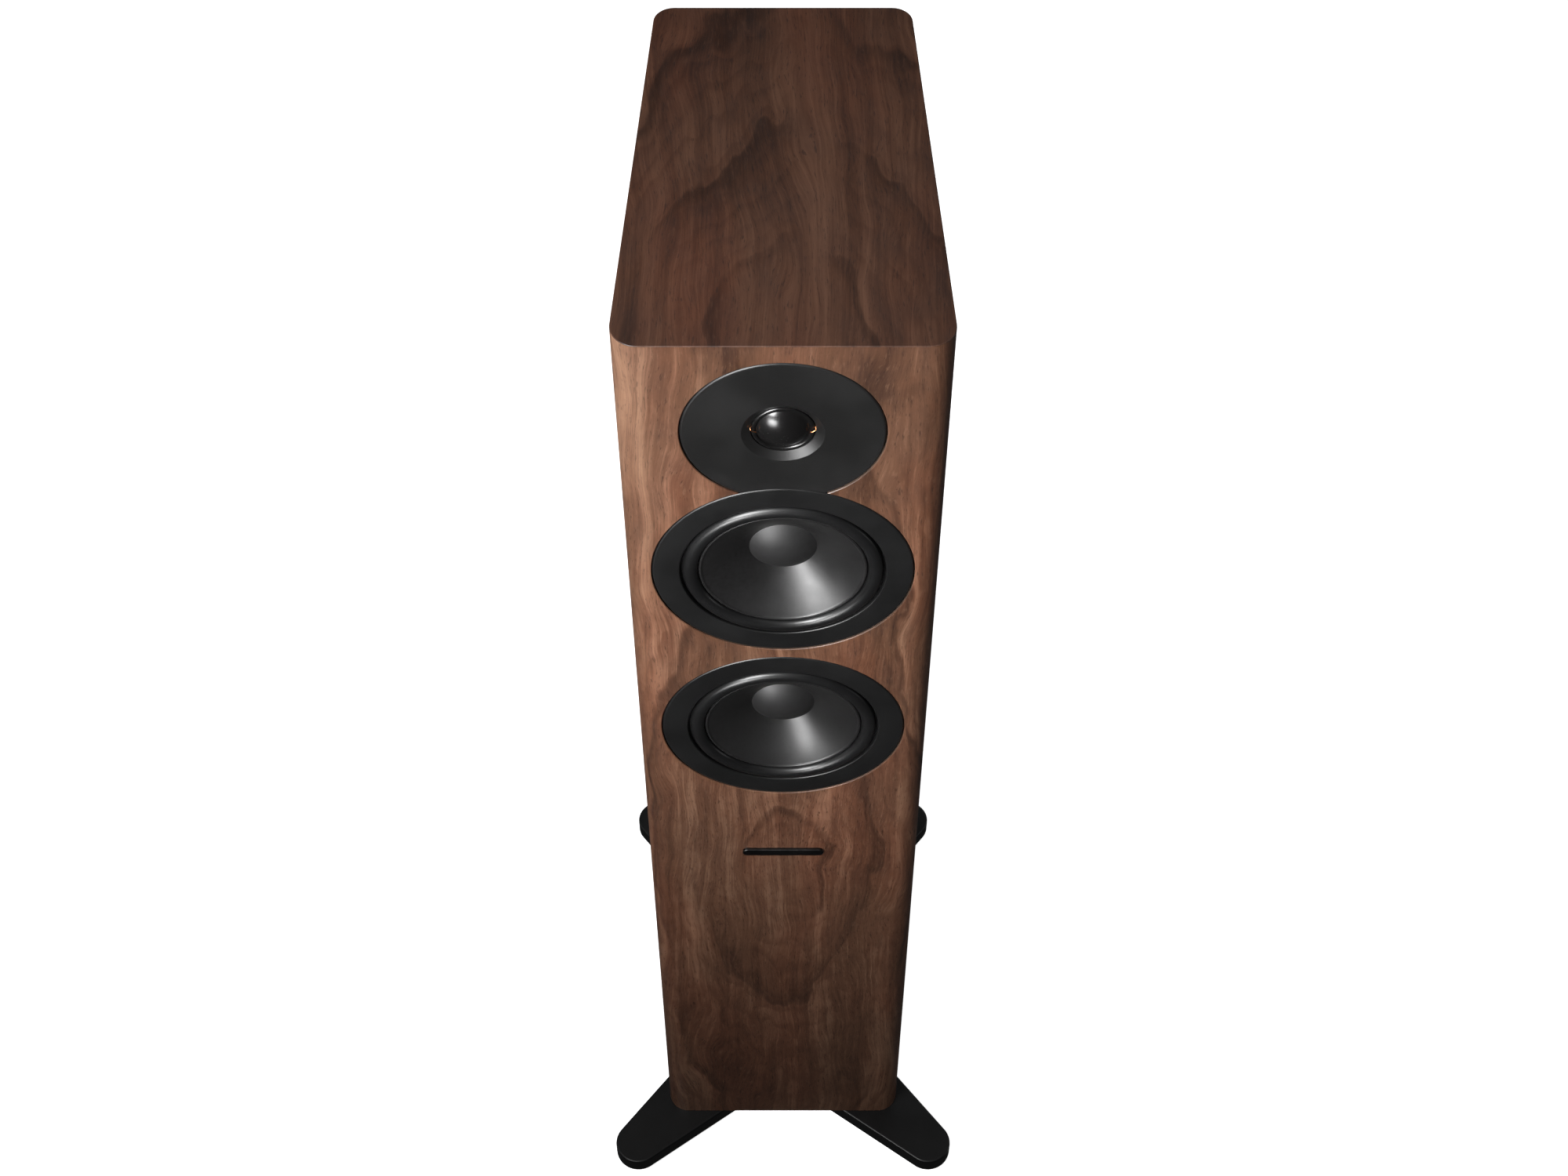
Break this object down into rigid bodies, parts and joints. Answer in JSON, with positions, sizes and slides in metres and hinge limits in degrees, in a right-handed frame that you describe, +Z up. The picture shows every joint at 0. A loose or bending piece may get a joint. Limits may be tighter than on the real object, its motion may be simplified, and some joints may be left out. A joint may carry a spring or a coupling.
{
  "type": "floorstanding speaker",
  "caption": "Slim tapered walnut loudspeaker with a dome tweeter over two cone woofers, a rear reflex port, screw terminals and outrigger feet with levelling glides.",
  "frame": {"origin": "on the floor, at the middle of the footprint's bounding box", "axes": "+Z up, the baffle with the drivers faces -Y, +X to the right as seen from the front"},
  "size_m": [0.263, 0.332, 0.916],
  "materials": {
    "walnut_veneer": "oiled walnut veneer, satin",
    "fibreboard": "raw fibreboard",
    "plywood": "raw plywood",
    "satin_black_plastic": "fine-grained satin black",
    "gloss_black_plastic": "black, polished",
    "black_metal": "black powder coat",
    "black_rubber": "soft, dull",
    "cone_plastic": "black coated cone",
    "dome_fabric": "coated dark textile",
    "spider_fabric": "resin-stiffened cloth",
    "wadding": "white polyester wadding",
    "copper": "enamelled copper wire",
    "ferrite": "dark sintered ferrite",
    "steel": "zinc-plated steel",
    "black_steel": "black-oxide steel",
    "terminal_gold": "plated brass",
    "circuit_board": "green solder mask",
    "white_nylon": "natural nylon",
    "capacitor_film": "yellow film wrap",
    "cement": "white cement",
    "wire_insulation": "red sleeve",
    "red_plastic": "red",
    "cast_aluminium_black": "satin black paint on cast aluminium"
  },
  "bodies": {
    "cabinet": {"top_panel": "fibreboard", "bottom_panel": "fibreboard", "front_baffle": "fibreboard", "left_side_panel": "fibreboard", "right_side_panel": "fibreboard", "rear_panel": "fibreboard", "window_braces": "plywood", "veneer_wrap": "walnut_veneer", "top_veneer": "walnut_veneer", "badge": "gloss_black_plastic", "wadding": "wadding", "upper_trim_ring": "satin_black_plastic", "lower_trim_ring": "satin_black_plastic", "upper_basket": "black_metal", "lower_basket": "black_metal", "upper_surround": "black_rubber", "lower_surround": "black_rubber", "woofer_magnets": "ferrite", "woofer_motor_plates": "steel", "upper_spider": "spider_fabric", "lower_spider": "spider_fabric", "panel_screws": "black_steel", "driver_terminals": "terminal_gold", "tweeter_faceplate": "satin_black_plastic", "tweeter_chassis": "satin_black_plastic", "tweeter_motor_plates": "steel", "tweeter_magnet": "ferrite", "tweeter_surround": "dome_fabric", "crossover_board": "circuit_board", "crossover_spacers": "white_nylon", "crossover_inductors": "copper", "crossover_capacitors": "capacitor_film", "crossover_resistors": "cement", "wiring_loom": "wire_insulation", "port_tube": "satin_black_plastic", "terminal_plate": "satin_black_plastic", "binding_posts": "terminal_gold", "foot_screws": "steel", "front_left_foot": "cast_aluminium_black", "front_right_foot": "cast_aluminium_black", "rear_left_foot": "cast_aluminium_black", "rear_right_foot": "cast_aluminium_black"},
    "upper_cone_assembly": {"upper_cone": "cone_plastic", "upper_voice_coil": "copper"},
    "lower_cone_assembly": {"lower_cone": "cone_plastic", "lower_voice_coil": "copper"},
    "tweeter_dome_assembly": {"tweeter_dome": "dome_fabric", "tweeter_voice_coil": "copper"},
    "red_post_ring_body": {"red_post_ring": "red_plastic"},
    "red_post_cap_body": {"red_post_cap": "red_plastic"},
    "black_post_ring_body": {"black_post_ring": "gloss_black_plastic"},
    "black_post_cap_body": {"black_post_cap": "gloss_black_plastic"},
    "front_left_pad_body": {"front_left_glide_pad": "black_rubber"},
    "front_left_stud_body": {"front_left_glide_stud": "steel"},
    "front_right_pad_body": {"front_right_glide_pad": "black_rubber"},
    "front_right_stud_body": {"front_right_glide_stud": "steel"},
    "rear_left_pad_body": {"rear_left_glide_pad": "black_rubber"},
    "rear_left_stud_body": {"rear_left_glide_stud": "steel"},
    "rear_right_pad_body": {"rear_right_glide_pad": "black_rubber"},
    "rear_right_stud_body": {"rear_right_glide_stud": "steel"}
  },
  "joints": [
    {"name": "upper_cone_travel", "type": "slide", "parent": "cabinet", "child": "upper_cone_assembly", "axis": [0, -1, 0], "range_m": [-0.005, 0.005], "stiffness_N_per_m": 900, "deforming": ["upper_surround", "upper_spider"]},
    {"name": "lower_cone_travel", "type": "slide", "parent": "cabinet", "child": "lower_cone_assembly", "axis": [0, -1, 0], "range_m": [-0.005, 0.005], "stiffness_N_per_m": 900, "deforming": ["lower_surround", "lower_spider"]},
    {"name": "tweeter_dome_travel", "type": "slide", "parent": "cabinet", "child": "tweeter_dome_assembly", "axis": [0, -1, 0], "range_m": [-0.0005, 0.0005], "stiffness_N_per_m": 2000, "deforming": ["tweeter_surround"]},
    {"name": "red_ring_slide", "type": "slide", "parent": "cabinet", "child": "red_post_ring_body", "axis": [0, 1, 0], "range_m": [0, 0.005]},
    {"name": "red_cap_turn", "type": "hinge", "parent": "red_post_ring_body", "child": "red_post_cap_body", "pos_m": [-0.018, 0.1565, 0.151], "axis": [0, 1, 0], "range_deg": [0, 1440]},
    {"name": "black_ring_slide", "type": "slide", "parent": "cabinet", "child": "black_post_ring_body", "axis": [0, 1, 0], "range_m": [0, 0.005]},
    {"name": "black_cap_turn", "type": "hinge", "parent": "black_post_ring_body", "child": "black_post_cap_body", "pos_m": [0.018, 0.1565, 0.151], "axis": [0, 1, 0], "range_deg": [0, 1440]},
    {"name": "front_left_glide_lift", "type": "slide", "parent": "cabinet", "child": "front_left_pad_body", "axis": [0, 0, 1], "range_m": [0, 0.002]},
    {"name": "front_left_glide_turn", "type": "hinge", "parent": "front_left_pad_body", "child": "front_left_stud_body", "pos_m": [-0.114, -0.1485, 0.01], "axis": [0, 0, 1], "range_deg": [0, 576]},
    {"name": "front_right_glide_lift", "type": "slide", "parent": "cabinet", "child": "front_right_pad_body", "axis": [0, 0, 1], "range_m": [0, 0.002]},
    {"name": "front_right_glide_turn", "type": "hinge", "parent": "front_right_pad_body", "child": "front_right_stud_body", "pos_m": [0.114, -0.1485, 0.01], "axis": [0, 0, 1], "range_deg": [0, 576]},
    {"name": "rear_left_glide_lift", "type": "slide", "parent": "cabinet", "child": "rear_left_pad_body", "axis": [0, 0, 1], "range_m": [0, 0.002]},
    {"name": "rear_left_glide_turn", "type": "hinge", "parent": "rear_left_pad_body", "child": "rear_left_stud_body", "pos_m": [-0.107, 0.1485, 0.01], "axis": [0, 0, 1], "range_deg": [0, 576]},
    {"name": "rear_right_glide_lift", "type": "slide", "parent": "cabinet", "child": "rear_right_pad_body", "axis": [0, 0, 1], "range_m": [0, 0.002]},
    {"name": "rear_right_glide_turn", "type": "hinge", "parent": "rear_right_pad_body", "child": "rear_right_stud_body", "pos_m": [0.107, 0.1485, 0.01], "axis": [0, 0, 1], "range_deg": [0, 576]}
  ],
  "couplings": [
    {"joint": "red_cap_turn", "follows": "red_ring_slide", "rad_per_m": 5026.5},
    {"joint": "black_cap_turn", "follows": "black_ring_slide", "rad_per_m": 5026.5},
    {"joint": "front_left_glide_turn", "follows": "front_left_glide_lift", "rad_per_m": 5026.5},
    {"joint": "front_right_glide_turn", "follows": "front_right_glide_lift", "rad_per_m": 5026.5},
    {"joint": "rear_left_glide_turn", "follows": "rear_left_glide_lift", "rad_per_m": 5026.5},
    {"joint": "rear_right_glide_turn", "follows": "rear_right_glide_lift", "rad_per_m": 5026.5}
  ]
}
